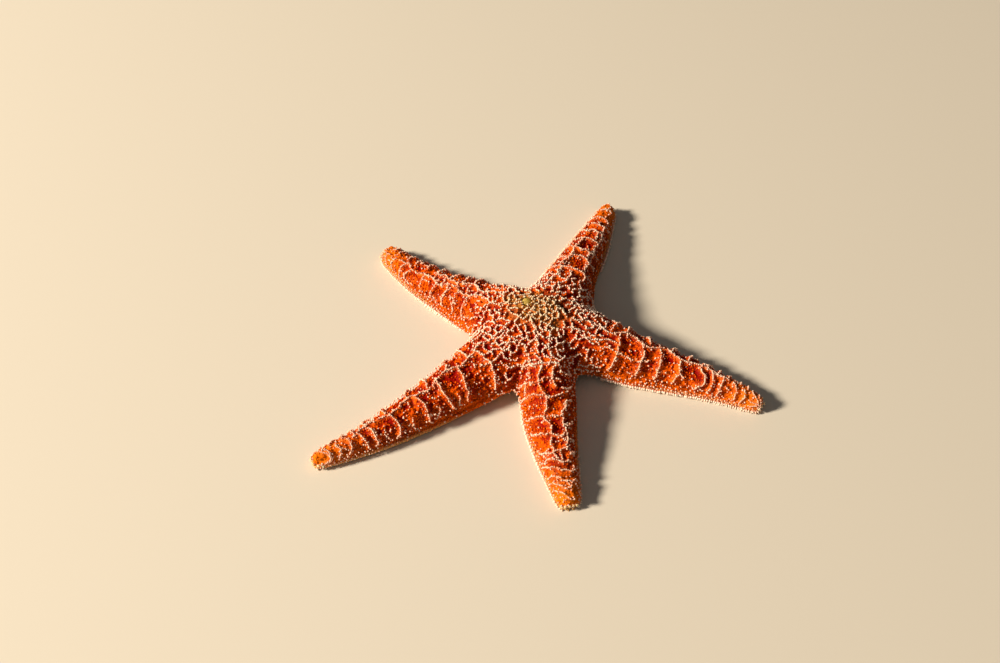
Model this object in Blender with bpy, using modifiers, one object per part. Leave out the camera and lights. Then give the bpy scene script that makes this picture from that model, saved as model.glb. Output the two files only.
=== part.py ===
# Ochre sea star, life size, at rest: the disc is held clear of the floor and the arms drape down to it.
# Units are metres, +Z is up, and the origin is under the middle of the star at floor level.
import math

import bmesh
import bpy
import numpy as np
from mathutils import Matrix, Vector
from mathutils.bvhtree import BVHTree

MM = 0.001

# Driving dimensions, in millimetres and degrees. Each arm is a direction about the disc's centre
# (anticlockwise from +X), a length, how far its tip and its middle swing to the left, its half width
# at three stations, and where along it the cut from the disc lies.
ARMS = {
    "arm_far_right": dict(direction=65.5, length=79.4, tip_swing=1.1, mid_swing=-0.1,
                          half_widths=(11.0, 8.2, 5.2), cut=25.0),
    "arm_far_left": dict(direction=146.0, length=79.2, tip_swing=-4.4, mid_swing=3.1,
                         half_widths=(10.8, 7.8, 5.8), cut=25.0),
    "arm_near_left": dict(direction=216.0, length=103.0, tip_swing=-4.3, mid_swing=3.0,
                          half_widths=(11.4, 7.9, 4.9), cut=28.5),
    "arm_near": dict(direction=277.0, length=77.2, tip_swing=1.4, mid_swing=-1.3,
                     half_widths=(11.8, 8.7, 6.1), cut=31.0),
    "arm_right": dict(direction=342.0, length=91.6, tip_swing=-3.6, mid_swing=3.2,
                      half_widths=(11.3, 7.7, 4.8), cut=25.0),
}
# The angle between each arm and the next: how far it lies from the disc's centre, and how far it is
# turned from halfway between the two arms.
NOTCH_RADII = (20.5, 26.2, 28.0, 23.5, 25.2)
NOTCH_TURNS = (-2.0, 4.0, 6.0, 0.0, -3.0)
HALF_WIDTH_AT = (0.45, 0.72, 0.95)   # shares of an arm's length
CREST_AT = (0.0, 0.1, 0.28, 0.45, 0.7, 0.9, 1.0)
CREST_HEIGHTS = (24.2, 23.4, 20.0, 16.6, 12.2, 9.0, 7.7)
RAISE_AT = (0.0, 0.2, 0.42, 1.0)
RAISES = (5.5, 4.0, 0.0, 0.0)   # how far the underside is held off the floor
SIDE_LEVEL = 0.34        # share of the thickness at which an arm is widest
ARM_ROUNDNESS = 2.3      # exponent of the arm's upper outline: 2 is an ellipse
WEB_FALL = 3.0           # how late the web between two arms drops from the disc's crown
WEB_ROUNDING = 0.6       # and how fully it is rounded as it drops
MARGIN_WIDTH = 0.95      # shares of the half width, on the underside
FOOT_WIDTH = 0.80
LIP_WIDTH = 0.30
MARGIN_RISE = 1.8
TREAD_DEPTH = 0.7        # how far the arms' treads would reach below the floor, which flattens them
GROOVE_DEPTH = 3.0       # the furrow that holds the tube feet
TIP_NARROWING = (1.0, 0.92, 0.72, 0.34)   # the last four stations round the tip off
TIP_LOWERING = (1.0, 0.98, 0.90, 0.62)
TIP_FURROW = (0.9, 0.5, 0.1, 0.0)         # share of the groove's depth that is left there
GAP = 0.3                # between touching solids
SOCKET_OVERRUN = 5.0     # how far a socket's cutter runs out past the surface
MOUTH_RADIUS = 4.6
MOUTH_HALF_HEIGHT = 1.6
MOUTH_LEVEL = 7.4
MADREPORITE_RADIUS = 1.7
MADREPORITE_THICKNESS = 2.2
MADREPORITE_OFFSET = (-4.8, 4.4)
MADREPORITE_BEVEL = 0.5

HALF_STEP = 0.5          # over which a centre line's heading is measured
ACROSS = 3               # cage points from an arm's crest to its side
WEB_STATIONS = 4         # rows of the cage between the centre and the notches
ARM_STATIONS = (0.11, 0.23, 0.36, 0.5, 0.64, 0.77, 0.88, 0.95, 0.985, 1.0)
SUBDIVISIONS = 1
BLOCK_HALF_WIDTH = 15.5
BLOCK_LENGTH = 120.0
BLOCK_HEIGHT = 80.0
FLOOR_BLOCK = 400.0
MARK_SIDES = 28

COLOURS = {
    "disc": (0.62, 0.20, 0.06),
    "arm_far_right": (0.66, 0.12, 0.02),
    "arm_far_left": (0.70, 0.17, 0.02),
    "arm_near_left": (0.62, 0.10, 0.02),
    "arm_near": (0.68, 0.13, 0.02),
    "arm_right": (0.72, 0.18, 0.02),
    "madreporite": (0.72, 0.58, 0.22),
    "mouth": (0.78, 0.62, 0.42),
}
ROUGHNESS = 0.55


def clear_scene():
    for old in list(bpy.data.objects):
        bpy.data.objects.remove(old, do_unlink=True)


def new_collection(name, parent):
    made = bpy.data.collections.new(name)
    parent.children.link(made)
    return made


def smooth_between(stations, values, at):
    """The value at a station, eased between its two neighbours with the slope of a spline."""
    slopes = np.gradient(np.array(values), np.array(stations))
    at = min(max(at, stations[0]), stations[-1])
    k = min(int(np.searchsorted(stations, at, side="right")) - 1, len(stations) - 2)
    span = stations[k + 1] - stations[k]
    s = (at - stations[k]) / span
    start = (1 + 2 * s) * (1 - s) ** 2 * values[k] + s * (1 - s) ** 2 * span * slopes[k]
    end = s * s * (3 - 2 * s) * values[k + 1] + s * s * (s - 1) * span * slopes[k + 1]
    return start + end


def turned(angle_deg):
    angle = math.radians(angle_deg)
    return Vector((math.cos(angle), math.sin(angle)))


def axis_point(arm, along):
    """A point of an arm's centre line, from above."""
    share = along / arm["length"]
    forward = turned(arm["direction"])
    left = turned(arm["direction"] + 90)
    swing = arm["tip_swing"] * share**3 + arm["mid_swing"] * 4 * share**2 * (1 - share)
    return forward * along + left * swing


def margin_point(arm, along, half_width):
    """The point that lies half_width to the left of an arm's centre line."""
    forward = (axis_point(arm, along + HALF_STEP) - axis_point(arm, along - HALF_STEP)).normalized()
    return axis_point(arm, along) + Vector((-forward.y, forward.x)) * half_width


def row_points(left, middle, right, spread):
    """Points from the left to the right of a section, at the given shares of its half widths."""
    return [middle.lerp(left, -s) if s < 0 else middle.lerp(right, s) for s in spread]


def section(left, middle, right, share, web, lowering=1.0, furrow=1.0):
    """One section's upper and lower rows. web is 1 from the notches outwards, and less nearer the centre."""
    crest = smooth_between(CREST_AT, CREST_HEIGHTS, share)
    under = smooth_between(RAISE_AT, RAISES, share)
    side = under + SIDE_LEVEL * (crest - under)
    spread = [i / ACROSS for i in range(-ACROSS, ACROSS + 1)]
    edge = side + (crest - side) * (1 - web**WEB_FALL) ** WEB_ROUNDING
    upper = []
    for s, place in zip(spread, row_points(left, middle, right, spread)):
        rounded = (1 - abs(s) ** ARM_ROUNDNESS) ** (1 / ARM_ROUNDNESS)
        waved = 0.5 + 0.5 * math.cos(math.pi * s)
        profile = rounded * web**2 + waved * (1 - web**2)
        height = edge + (crest - edge) * profile
        upper.append(Vector((place.x, place.y, side + (height - side) * lowering)))
    margin = MARGIN_WIDTH if web >= 1 else 1.0
    under_spread = (-margin, -FOOT_WIDTH, -LIP_WIDTH, 0, LIP_WIDTH, FOOT_WIDTH, margin)
    groove_rise = furrow * (GROOVE_DEPTH + TREAD_DEPTH) - TREAD_DEPTH
    rises = (MARGIN_RISE, -TREAD_DEPTH, -TREAD_DEPTH, groove_rise, -TREAD_DEPTH, -TREAD_DEPTH, MARGIN_RISE)
    lower = []
    for rise, place in zip(rises, row_points(left, middle, right, under_spread)):
        lower.append(Vector((place.x, place.y, under + rise)))
    return upper, lower


def notch_places():
    """Each notch's angle and radius, the first one lying between the first arm and the second."""
    directions = [arm["direction"] for arm in ARMS.values()]
    following = directions[1:] + [directions[0] + 360]
    halfway = [(a + b) / 2 for a, b in zip(directions, following)]
    return [(h + turn, radius) for h, turn, radius in zip(halfway, NOTCH_TURNS, NOTCH_RADII)]


def arm_sections(arm, left_notch, right_notch):
    """All of one arm's sections from beside the disc's centre to its tip."""
    length = arm["length"]
    ends = []
    for angle, radius in (left_notch, right_notch):
        off = math.radians(angle - arm["direction"])
        ends.append((radius * math.cos(off), abs(radius * math.sin(off)), turned(angle) * radius))
    (left_along, left_width, left_point), (right_along, right_width, right_point) = ends
    start = (left_along + right_along) / 2
    sections = []
    for step in range(1, WEB_STATIONS + 1):
        web = step / WEB_STATIONS
        middle = axis_point(arm, start * web)
        sections.append(section(left_point * web, middle, right_point * web, start * web / length, web))
    width_at = [share * length for share in HALF_WIDTH_AT]
    for number, q in enumerate(ARM_STATIONS):
        to_tip = len(ARM_STATIONS) - number
        narrowing, lowering, furrow = (
            shares[-to_tip] if to_tip <= len(shares) else 1.0
            for shares in (TIP_NARROWING, TIP_LOWERING, TIP_FURROW)
        )
        sides = []
        for along_notch, width_notch, hand in ((left_along, left_width, 1), (right_along, right_width, -1)):
            along = along_notch + (length - along_notch) * q
            widths = (width_notch, *arm["half_widths"], arm["half_widths"][-1])
            half_width = smooth_between((along_notch, *width_at, length), widths, along)
            sides.append(margin_point(arm, along, hand * half_width * narrowing))
        along = start + (length - start) * q
        middle = axis_point(arm, along)
        sections.append(section(sides[0], middle, sides[1], along / length, 1.0, lowering, furrow))
    return sections


def arm_rows(cage, shared, k, sections):
    """An arm's sections as rows of vertices. The disc's rows share their ends with the arms beside."""
    rows = []
    for step, section_rows in enumerate(sections, start=1):
        row = []
        for layer, places in enumerate(section_rows):
            made = []
            for i, place in enumerate(places):
                at_end = i in (0, len(places) - 1)
                notch = k if i == 0 else (k - 1) % len(ARMS)
                key = (layer, step, notch) if at_end and step <= WEB_STATIONS else (layer, step, k, i, "own")
                if key not in shared:
                    shared[key] = cage.verts.new(place * MM)
                made.append(shared[key])
            row.append(made)
        rows.append(row)
    return rows


def skin_arm(cage, rows, top, bottom):
    """Faces over an arm's rows: a fan at the disc's centre, the two sides past the notches, and the tip."""
    last = len(rows[0][0]) - 1
    first_upper, first_lower = rows[0]
    end_upper, end_lower = rows[-1]
    for i in range(last):
        cage.faces.new((top, first_upper[i + 1], first_upper[i]))
        cage.faces.new((bottom, first_lower[i], first_lower[i + 1]))
        cage.faces.new((end_upper[i], end_upper[i + 1], end_lower[i + 1], end_lower[i]))
    for step, ((upper, lower), (next_upper, next_lower)) in enumerate(zip(rows[:-1], rows[1:]), start=1):
        for i in range(last):
            cage.faces.new((upper[i], upper[i + 1], next_upper[i + 1], next_upper[i]))
            cage.faces.new((lower[i + 1], lower[i], next_lower[i], next_lower[i + 1]))
        if step >= WEB_STATIONS:
            cage.faces.new((lower[0], upper[0], next_upper[0], next_lower[0]))
            cage.faces.new((upper[last], lower[last], next_lower[last], next_upper[last]))


def body_cage():
    """The whole star as one coarse closed cage: five lofted arms that share the rows of the disc."""
    cage = bmesh.new()
    notches = notch_places()
    top = cage.verts.new((0, 0, CREST_HEIGHTS[0] * MM))
    bottom = cage.verts.new((0, 0, (RAISES[0] + GROOVE_DEPTH) * MM))
    shared = {}
    for k, arm in enumerate(ARMS.values()):
        sections = arm_sections(arm, notches[k], notches[k - 1])
        skin_arm(cage, arm_rows(cage, shared, k, sections), top, bottom)
    bmesh.ops.recalc_face_normals(cage, faces=cage.faces)
    mesh = bpy.data.meshes.new("whole_body")
    cage.to_mesh(mesh)
    cage.free()
    return mesh


def add_boolean(obj, operation, other):
    cut = obj.modifiers.new(operation.lower() + "_" + other.name, "BOOLEAN")
    cut.operation = operation
    cut.solver = "EXACT"
    cut.object = other


def box_cutter(name, size, place, angle_deg, collection):
    bpy.ops.mesh.primitive_cube_add(size=1)
    cutter = bpy.context.object
    cutter.data.transform(Matrix.Diagonal((*[side * MM for side in size], 1)))
    cutter.location = Vector(place) * MM
    cutter.rotation_euler.z = math.radians(angle_deg)
    return as_cutter(cutter, name, collection)


def as_cutter(cutter, name, collection):
    cutter.name = name
    cutter.hide_render = True
    cutter.display_type = "WIRE"
    move_to(cutter, collection)
    return cutter


def move_to(obj, collection):
    for old in list(obj.users_collection):
        old.objects.unlink(obj)
    collection.objects.link(obj)


def arm_block(name, arm, start, collection):
    """A block that holds all of one arm past a plane across its base."""
    middle = turned(arm["direction"]) * (start + BLOCK_LENGTH / 2)
    size = (BLOCK_LENGTH, 2 * BLOCK_HALF_WIDTH, BLOCK_HEIGHT)
    return box_cutter(name, size, (middle.x, middle.y, 0), arm["direction"], collection)


def whole_body(cutters):
    """The smooth star in one piece, with its treads cut flat at floor level."""
    body = bpy.data.objects.new("whole_body", body_cage())
    cutters.objects.link(body)
    smoothing = body.modifiers.new("smoothing", "SUBSURF")
    smoothing.levels = SUBDIVISIONS
    smoothing.render_levels = SUBDIVISIONS
    floor_size = (FLOOR_BLOCK, FLOOR_BLOCK, FLOOR_BLOCK)
    floor = box_cutter("below_floor", floor_size, (0, 0, -FLOOR_BLOCK / 2), 0, cutters)
    add_boolean(body, "DIFFERENCE", floor)
    graph = bpy.context.evaluated_depsgraph_get()
    mesh = bpy.data.meshes.new_from_object(body.evaluated_get(graph))
    bpy.data.objects.remove(body, do_unlink=True)
    return mesh


def middle_of(mesh):
    """Half way across the mesh's box, from above."""
    places = np.array([v.co[:] for v in mesh.vertices])
    middle = (places.min(axis=0) + places.max(axis=0)) / 2
    return Vector((middle[0], middle[1], 0))


def flesh_material(name):
    material = bpy.data.materials.new(name)
    material.use_nodes = True
    shader = material.node_tree.nodes["Principled BSDF"]
    shader.inputs["Base Color"].default_value = (*COLOURS[name], 1)
    shader.inputs["Roughness"].default_value = ROUGHNESS
    shader.inputs["Metallic"].default_value = 0.0
    return material


def add_part(name, mesh, collection):
    part = bpy.data.objects.new(name, mesh)
    mesh.materials.clear()
    mesh.materials.append(flesh_material(name))
    mesh.shade_smooth()
    collection.objects.link(part)
    return part


def madreporite_mesh():
    """The sieve plate: a small round plate with a worn edge."""
    plate = bmesh.new()
    bmesh.ops.create_cone(plate, cap_ends=True, segments=MARK_SIDES, radius1=MADREPORITE_RADIUS * MM,
                          radius2=MADREPORITE_RADIUS * MM, depth=MADREPORITE_THICKNESS * MM)
    rim = [e for e in plate.edges if all(v.co.z > 0 for v in e.verts)]
    bmesh.ops.bevel(plate, geom=rim, offset=MADREPORITE_BEVEL * MM, segments=2, profile=0.5, affect="EDGES")
    mesh = bpy.data.meshes.new("madreporite")
    plate.to_mesh(mesh)
    plate.free()
    return mesh


def mouth_mesh():
    """The membrane round the mouth: a low cushion."""
    cushion = bmesh.new()
    bmesh.ops.create_uvsphere(cushion, u_segments=MARK_SIDES, v_segments=MARK_SIDES // 2, radius=1)
    bmesh.ops.scale(cushion, verts=cushion.verts,
                    vec=(MOUTH_RADIUS * MM, MOUTH_RADIUS * MM, MOUTH_HALF_HEIGHT * MM))
    mesh = bpy.data.meshes.new("mouth")
    cushion.to_mesh(mesh)
    cushion.free()
    return mesh


def cylinder_cutter(name, radius, low, high, place, collection):
    bpy.ops.mesh.primitive_cylinder_add(vertices=MARK_SIDES, radius=radius * MM, depth=(high - low) * MM)
    cutter = bpy.context.object
    cutter.location = Vector((place[0], place[1], (low + high) / 2)) * MM
    return as_cutter(cutter, name, collection)


def surface_height(mesh, place):
    """How high the body's upper surface is over a place, in millimetres."""
    probe = bmesh.new()
    probe.from_mesh(mesh)
    above = Vector((place[0] * MM, place[1] * MM, 1))
    hit = BVHTree.FromBMesh(probe).ray_cast(above, Vector((0, 0, -1)))
    probe.free()
    return hit[0].z / MM


def main():
    clear_scene()
    scene_root = bpy.context.scene.collection
    parts = new_collection("sea_star", scene_root)
    cutters = new_collection("cutters", scene_root)
    cutters.hide_render = True
    body = whole_body(cutters)
    centre = -middle_of(body)

    disc = add_part("disc", body.copy(), parts)
    made = [disc]
    for name, arm in ARMS.items():
        part = add_part(name, body.copy(), parts)
        add_boolean(part, "INTERSECT", arm_block("beyond_" + name, arm, arm["cut"], cutters))
        add_boolean(disc, "DIFFERENCE", arm_block("all_" + name, arm, arm["cut"] - GAP, cutters))
        made.append(part)

    crown = surface_height(body, MADREPORITE_OFFSET)
    plate = add_part("madreporite", madreporite_mesh(), parts)
    plate_level = crown - MADREPORITE_THICKNESS / 2 + GAP
    plate.location = Vector((*MADREPORITE_OFFSET, plate_level)) * MM
    made.append(plate)
    low = plate_level - MADREPORITE_THICKNESS / 2 - GAP
    socket = cylinder_cutter("madreporite_socket", MADREPORITE_RADIUS + GAP, low, crown + SOCKET_OVERRUN,
                             MADREPORITE_OFFSET, cutters)
    add_boolean(disc, "DIFFERENCE", socket)

    mouth = add_part("mouth", mouth_mesh(), parts)
    mouth.location.z = MOUTH_LEVEL * MM
    made.append(mouth)
    hollow = cylinder_cutter("mouth_socket", MOUTH_RADIUS + GAP, -SOCKET_OVERRUN,
                             MOUTH_LEVEL + MOUTH_HALF_HEIGHT + GAP, (0, 0), cutters)
    add_boolean(disc, "DIFFERENCE", hollow)

    origin = bpy.data.objects.new("sea_star_origin", None)
    parts.objects.link(origin)
    origin.location = centre
    for part in made + list(cutters.objects):
        part.parent = origin


main()
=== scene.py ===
import math
import random

import bmesh
import bpy
import numpy as np
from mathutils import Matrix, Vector, noise
from mathutils.bvhtree import BVHTree
from mathutils.kdtree import KDTree


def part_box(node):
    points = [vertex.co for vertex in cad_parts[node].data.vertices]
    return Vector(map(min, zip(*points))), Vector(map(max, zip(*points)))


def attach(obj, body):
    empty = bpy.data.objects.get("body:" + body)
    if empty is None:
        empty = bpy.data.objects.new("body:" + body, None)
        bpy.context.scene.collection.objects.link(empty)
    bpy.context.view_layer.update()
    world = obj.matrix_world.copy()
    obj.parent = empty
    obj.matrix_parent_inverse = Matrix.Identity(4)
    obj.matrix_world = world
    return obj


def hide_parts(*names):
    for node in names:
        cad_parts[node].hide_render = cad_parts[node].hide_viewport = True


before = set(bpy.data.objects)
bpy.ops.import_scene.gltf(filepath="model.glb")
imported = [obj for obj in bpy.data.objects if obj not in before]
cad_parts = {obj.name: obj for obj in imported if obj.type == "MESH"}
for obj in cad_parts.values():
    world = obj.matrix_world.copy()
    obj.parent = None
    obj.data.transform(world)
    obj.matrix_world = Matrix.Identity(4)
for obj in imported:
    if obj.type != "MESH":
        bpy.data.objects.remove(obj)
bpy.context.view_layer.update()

mm = 0.001
up = Vector((0, 0, 1))
noiseSeed = 1795398062      # without one, Blender seeds noise_vector from the clock
noise.seed_set(noiseSeed)

# how the arms run, as the solids have them: heading in degrees, length and swings in millimetres
# rails are chains of plates along an arm: turn round the arm, first share of its length, last share, sway
# spans are the plates that cross it: from one turn to another, how tall, where each starts, lean and bulge
# loose is the gap between spines inside the cells, and tipLoose the same at the tip
# bare is how far out the low flank has no spines, on the left and the right
# margins are the shares where each side's rows of spines begin: its upper, middle and lower rows
arms = {
    "arm_far_right": dict(
        heading=65.5, length=79.4, tipSwing=1.1, midSwing=-0.1,
        loose=1.75, tipLoose=2.0, bare=(0.0, 0.8),
        margins=((0.3, 0.3, 0.3), (0.75, 0.8, 0.55)),
        rails=((76, 0.16, 0.62, 3), (128, 0.3, 0.8, 4), (100, 0.14, 0.34, 4), (46, 0.28, 0.8, 5)),
        spans=((76, 128, 1.0, (0.355, 0.46, 0.548, 0.63, 0.698, 0.765, 0.83, 0.9), 0.01, 0.012),
               (128, 158, 0.75, (0.37, 0.477, 0.565, 0.655, 0.73, 0.8), 0.0, 0.0),
               (76, 12, 0.75, (0.36, 0.45, 0.545, 0.625, 0.7, 0.77, 0.83), -0.04, 0.0))),
    "arm_far_left": dict(
        heading=146.0, length=79.2, tipSwing=-4.4, midSwing=3.1,
        loose=2.1, tipLoose=1.3, bare=(0.0, 0.0),
        margins=((0.3, 0.3, 0.3), (0.4, 0.5, 0.3)),
        rails=((69, 0.16, 0.86, 5), (90, 0.2, 0.62, 5)),
        spans=((69, 13, 1.0, (0.36, 0.435, 0.507, 0.58, 0.662, 0.745, 0.81, 0.875, 0.93, 0.965),
                0.006, 0.01),
               (90, 69, 0.8, (0.34, 0.4, 0.47, 0.555, 0.61), 0.0, 0.0),
               (90, 168, 0.85, (0.38, 0.455, 0.53, 0.61, 0.69, 0.76, 0.82, 0.88, 0.93), -0.03, 0.0))),
    "arm_near_left": dict(
        heading=216.0, length=103.0, tipSwing=-4.3, midSwing=3.0,
        loose=1.7, tipLoose=1.1, bare=(0.62, 0.0),
        margins=((0.42, 0.7, 0.95), (0.3, 0.3, 0.27)),
        rails=((95, 0.16, 0.84, 6), (62, 0.1, 0.3, 5)),
        spans=((95, 14, 1.0, (0.29, 0.378, 0.472, 0.572, 0.684, 0.772, 0.817, 0.864, 0.907, 0.945, 0.97),
                0.006, -0.01),
               (95, 168, 0.85, (0.33, 0.42, 0.52, 0.6, 0.69, 0.775, 0.83, 0.88, 0.925), -0.03, 0.0),
               (42, 12, 0.7, (0.43, 0.525, 0.625, 0.73), 0.004, 0.0))),
    "arm_near": dict(
        heading=277.0, length=77.2, tipSwing=1.4, midSwing=-1.3,
        loose=2.3, tipLoose=1.4, bare=(0.78, 0.0),
        margins=((0.78, 0.8, 0.7), (0.28, 0.28, 0.28)),
        rails=((78, 0.1, 0.42, 5), (105, 0.08, 0.79, 6), (64, 0.5, 0.72, 5), (128, 0.14, 0.34, 4)),
        spans=((105, 168, 1.0, (0.295, 0.385, 0.462, 0.567, 0.657, 0.745, 0.79, 0.836, 0.88, 0.925, 0.965),
                -0.045, 0.0),
               (105, 66, 0.9, (0.3, 0.38, 0.463, 0.565, 0.655, 0.745, 0.79, 0.84, 0.885, 0.93, 0.97),
                0.0, 0.006),
               (66, 34, 0.8, (0.34, 0.42, 0.51, 0.6, 0.69, 0.77, 0.85, 0.91), -0.02, 0.0))),
    "arm_right": dict(
        heading=342.0, length=91.6, tipSwing=-3.6, midSwing=3.2,
        loose=1.8, tipLoose=1.2, bare=(0.0, 0.0),
        margins=((0.3, 0.3, 0.27), (0.34, 0.34, 0.25)),
        rails=((84, 0.14, 0.84, 6), (127, 0.3, 0.5, 5), (112, 0.12, 0.35, 5)),
        spans=((84, 168, 1.0, (0.35, 0.447, 0.53, 0.612, 0.703, 0.76, 0.812, 0.862, 0.904, 0.94, 0.97),
                -0.004, 0.016),
               (84, 12, 0.85, (0.31, 0.39, 0.485, 0.57, 0.655, 0.73, 0.785, 0.84, 0.885, 0.925),
                0.01, 0.0))),
}
mouthLow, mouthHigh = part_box("mouth")
discCentre = np.array([(mouthLow.x + mouthHigh.x) / 2, (mouthLow.y + mouthHigh.y) / 2]) / mm
fleshNodes = ["disc"] + list(arms)


def say(text):
    print("[sea star] " + text, flush=True)


def smooth01(low, high, x):
    t = np.clip((np.asarray(x, float) - low) / (high - low), 0, 1)
    return t * t * (3 - 2 * t)


def between(first, last, share):
    return first + (last - first) * share


def nearTip(share, begins=0.7):
    # nothing up to this share of an arm's length, and rising to one at its end
    return smooth01(begins, 1.0, share)


def deselectAll():
    bpy.ops.object.select_all(action="DESELECT")


def makeActive(obj):
    deselectAll()
    obj.select_set(True)
    bpy.context.view_layer.objects.active = obj


def applyModifiers(obj):
    makeActive(obj)
    for modifier in list(obj.modifiers):
        bpy.ops.object.modifier_apply(modifier=modifier.name)


def meshArrays(mesh):
    places = np.empty(len(mesh.vertices) * 3, np.float32)
    normals = np.empty(len(mesh.vertices) * 3, np.float32)
    mesh.vertices.foreach_get("co", places)
    mesh.vertices.foreach_get("normal", normals)
    return places.reshape(-1, 3).astype(float), normals.reshape(-1, 3).astype(float)


def setPlaces(mesh, places):
    mesh.vertices.foreach_set("co", places.astype(np.float32).ravel())
    mesh.update()


def setAttribute(mesh, name, values):
    layer = mesh.attributes.new(name, "FLOAT", "POINT")
    layer.data.foreach_set("value", np.asarray(values, np.float32))


def axesOf(shape):
    # the flat directions along and across anything that lies at a heading
    heading = math.radians(shape["heading"])
    forward = np.array([math.cos(heading), math.sin(heading)])
    return forward, np.array([-forward[1], forward[0]])


def armSwing(arm, share):
    return arm["tipSwing"] * share**3 + arm["midSwing"] * 4 * share**2 * (1 - share)


def axisPlace(arm, share):
    forward, left = axesOf(arm)
    return discCentre + forward * share * arm["length"] + left * armSwing(arm, share)


def onArms(places):
    # for each place in metres: its nearest arm, its share of the way out, how far left of the axis
    # it lies, and its distance from the disc's centre, both in millimetres
    flat = places[:, :2] / mm - discCentre
    reach = np.hypot(flat[:, 0], flat[:, 1]) + 1e-6
    best = np.full(len(flat), -2.0)
    nearest = np.zeros(len(flat), int)
    share = np.zeros(len(flat))
    aside = np.zeros(len(flat))
    for k, arm in enumerate(arms.values()):
        forward, left = axesOf(arm)
        out = flat @ forward
        fit = out / reach
        mine = fit > best
        best[mine] = fit[mine]
        nearest[mine] = k
        s = np.clip(out[mine] / arm["length"], 0, 1.05)
        share[mine] = s
        aside[mine] = flat[mine] @ left - armSwing(arm, s)
    return nearest, share, aside, reach


def srgb(code):
    # a hex colour as the linear values that a shader takes
    parts = [int(code[i:i + 2], 16) / 255 for i in (1, 3, 5)]
    return tuple(c / 12.92 if c <= 0.04045 else ((c + 0.055) / 1.055) ** 2.4 for c in parts) + (1.0,)


def addNode(tree, kind, settings, inputs, output=0):
    # sets a new node's properties, fills its inputs or joins them to other nodes, and gives one output
    node = tree.nodes.new("ShaderNode" + kind)
    for name, value in settings.items():
        setattr(node, name, value)
    for name, value in inputs.items():
        if isinstance(value, bpy.types.NodeSocket):
            tree.links.new(value, node.inputs[name])
        else:
            node.inputs[name].default_value = value
    return node.outputs[output]


def newMaterial(name, settings):
    material = bpy.data.materials.new(name)
    material.use_nodes = True
    tree = material.node_tree
    shader = tree.nodes["Principled BSDF"]
    for key, value in settings.items():
        shader.inputs[key].default_value = value
    return material, tree, shader


skinLook = {
    "hollow": "#8c0700",        # the deep red of a cell's floor: its own red where its tone is low, and painted shade down the hollows and between the granules
    "lit": "#fc6800",           # the orange that rims the floor and fills the shallow cells: a cell's own tone, and painted light on the shallow skin
    "tip": "#ea7a0a",           # the arms' ends and lower sides, nearer to yellow
    "crest": "#f29558",         # skin stretched over the ridges' plates
    "crown": "#b67c34",         # the disc's khaki middle
    "pit": "#34140a",           # painted shade: near black in the deepest hollows anywhere, and darker down the crown's hollows
    "oral": "#d9a564",          # the underside
    "margin": "#efc37e",        # the cream band along the foot of each flank
    "roughness": 0.5,
    "speckMm": 0.85,            # spacing of the soft granules between the gills
    "speckHeightMm": 0.3,
    "grainMm": 0.35,
    "mottleMm": 7.0,            # patches of warmer and cooler red
}


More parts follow.
